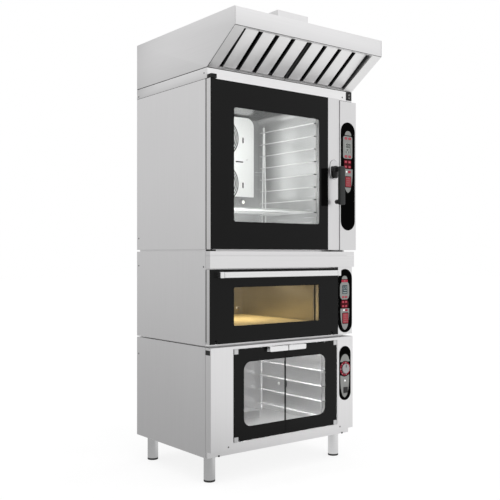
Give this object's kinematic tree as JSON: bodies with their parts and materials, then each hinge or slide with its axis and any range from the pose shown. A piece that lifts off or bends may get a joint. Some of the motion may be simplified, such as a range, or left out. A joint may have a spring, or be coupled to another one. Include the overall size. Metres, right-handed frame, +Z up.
{
  "type": "stacked bakery oven set",
  "caption": "Free-standing bakery tower: slanted-front extraction hood over a glass-door convection oven, a drop-door deck oven and a glass-door dough prover on round legs.",
  "frame": {"origin": "centre of the bounding box on the floor, under the rubber feet", "axes": "+Z up, -Y the front with the doors, +X to the right seen from the front"},
  "size_m": [0.937, 0.92, 2.324],
  "materials": {
    "stainless_panel": "fine brushed stainless sheet",
    "stainless_liner": "bright stainless cavity liner",
    "wire": "polished wire",
    "polished": "polished stainless",
    "door_glass": "toughened glass with a black printed border",
    "clear_glass": "toughened glass",
    "black_plastic": "satin black",
    "black_gloss": "gloss black membrane",
    "display": "grey-green liquid crystal",
    "key_red": "red push button",
    "lens": "pale lamp lens",
    "rubber": "black rubber",
    "gasket": "dark silicone rubber",
    "stone": "pale cordierite baking stone",
    "insulation": "mineral wool slab",
    "motor": "black enamel",
    "aluminium": "cast aluminium",
    "element": "heat-darkened sheath",
    "bracket": "black coated steel",
    "lamp": "frosted lamp glass"
  },
  "bodies": {
    "carcass": {"hood_shell": "stainless_panel", "hood_filter_frame": "stainless_panel", "hood_base_band": "stainless_panel", "exhaust_collar": "stainless_panel", "extraction_motor": "motor", "oven_casing": "stainless_panel", "oven_cavity": "stainless_liner", "rear_panels": "stainless_panel", "insulation": "insulation", "door_gaskets": "gasket", "fan_baffle": "stainless_liner", "fan_motors": "motor", "heating_elements": "element", "rack_supports": "wire", "cavity_lamps": "lamp", "control_column": "stainless_panel", "control_overlays": "black_gloss", "displays": "display", "indicator_lenses": "lens", "pivot_brackets": "bracket", "deck_casing": "stainless_panel", "deck_front_panel": "stainless_panel", "deck_cavity": "stainless_liner", "deck_stone": "stone", "prover_casing": "stainless_panel", "prover_front_panel": "stainless_panel", "prover_chamber": "stainless_liner", "humidifier_tray": "stainless_liner", "base_frame": "stainless_panel", "legs": "polished", "rubber_feet": "rubber", "casing_screws": "polished", "rear_pipes": "polished", "cable_gland": "black_plastic"},
    "filter_left": {"baffle_filter_left": "stainless_panel"},
    "filter_right": {"baffle_filter_right": "stainless_panel"},
    "extraction_fan": {"extraction_impeller": "aluminium"},
    "hood_switch": {"hood_rocker": "black_plastic"},
    "oven_door": {"oven_door_frame": "stainless_panel", "oven_door_glass": "door_glass", "oven_inner_glass": "clear_glass", "handle_rosette": "polished"},
    "oven_handle": {"oven_door_handle": "black_plastic", "latch_cam": "polished"},
    "fan_wheel_upper": {"fan_upper": "aluminium"},
    "fan_wheel_lower": {"fan_lower": "aluminium"},
    "shelf": {"wire_shelf": "wire"},
    "oven_button": {"oven_key": "key_red"},
    "deck_button": {"deck_key": "key_red"},
    "deck_door": {"deck_door_frame": "bracket", "deck_door_glass": "door_glass", "deck_handle": "polished"},
    "prover_left": {"prover_door_left": "door_glass", "prover_hinges_left": "polished", "prover_handle_left": "polished"},
    "prover_right": {"prover_door_right": "door_glass", "prover_hinges_right": "polished", "prover_handle_right": "polished"},
    "knob": {"prover_knob": "polished"},
    "prover_switch": {"prover_rocker": "black_plastic"}
  },
  "joints": [
    {"name": "filter_left_slide", "type": "slide", "parent": "carcass", "child": "filter_left", "axis": [0, -0.5635, -0.8262], "range_m": [0, 0.05]},
    {"name": "filter_right_slide", "type": "slide", "parent": "carcass", "child": "filter_right", "axis": [0, -0.5635, -0.8262], "range_m": [0, 0.05]},
    {"name": "extraction_fan_spin", "type": "hinge", "parent": "carcass", "child": "extraction_fan", "pos_m": [0.1445, -0.016, 2.1], "axis": [0, 0, 1], "continuous": true},
    {"name": "hood_rocker_tilt", "type": "hinge", "parent": "carcass", "child": "hood_switch", "pos_m": [0.4458, -0.241, 1.912], "axis": [1, 0, 0], "range_deg": [-8, 8]},
    {"name": "oven_door_swing", "type": "hinge", "parent": "carcass", "child": "oven_door", "pos_m": [-0.452, -0.255, 1.488], "axis": [0, 0, -1], "range_deg": [0, 110]},
    {"name": "oven_handle_turn", "type": "hinge", "parent": "oven_door", "child": "oven_handle", "pos_m": [0.313, -0.275, 1.512], "axis": [0, 1, 0], "range_deg": [0, 60]},
    {"name": "fan_upper_spin", "type": "hinge", "parent": "carcass", "child": "fan_wheel_upper", "pos_m": [-0.025, 0.3, 1.697], "axis": [0, 1, 0], "continuous": true},
    {"name": "fan_lower_spin", "type": "hinge", "parent": "carcass", "child": "fan_wheel_lower", "pos_m": [-0.025, 0.3, 1.447], "axis": [0, 1, 0], "continuous": true},
    {"name": "wire_shelf_slide", "type": "slide", "parent": "carcass", "child": "shelf", "axis": [0, -1, 0], "range_m": [0, 0.03]},
    {"name": "oven_key_press", "type": "slide", "parent": "carcass", "child": "oven_button", "axis": [0, 1, 0], "range_m": [0, 0.0015], "stiffness_N_per_m": 600},
    {"name": "deck_key_press", "type": "slide", "parent": "carcass", "child": "deck_button", "axis": [0, 1, 0], "range_m": [0, 0.0015], "stiffness_N_per_m": 600},
    {"name": "deck_door_drop", "type": "hinge", "parent": "carcass", "child": "deck_door", "pos_m": [0, -0.26, 0.661], "axis": [1, 0, 0], "range_deg": [0, 80]},
    {"name": "prover_left_swing", "type": "hinge", "parent": "carcass", "child": "prover_left", "pos_m": [-0.3325, -0.2709, 0.405], "axis": [0, 0, -1], "range_deg": [0, 105]},
    {"name": "prover_right_swing", "type": "hinge", "parent": "carcass", "child": "prover_right", "pos_m": [0.324, -0.2709, 0.405], "axis": [0, 0, 1], "range_deg": [0, 105]},
    {"name": "prover_knob_turn", "type": "hinge", "parent": "carcass", "child": "knob", "pos_m": [0.388, -0.29, 0.471], "axis": [0, 1, 0], "range_deg": [0, 270]},
    {"name": "prover_rocker_tilt", "type": "hinge", "parent": "carcass", "child": "prover_switch", "pos_m": [0.3895, -0.272, 0.3585], "axis": [1, 0, 0], "range_deg": [-8, 8]}
  ]
}
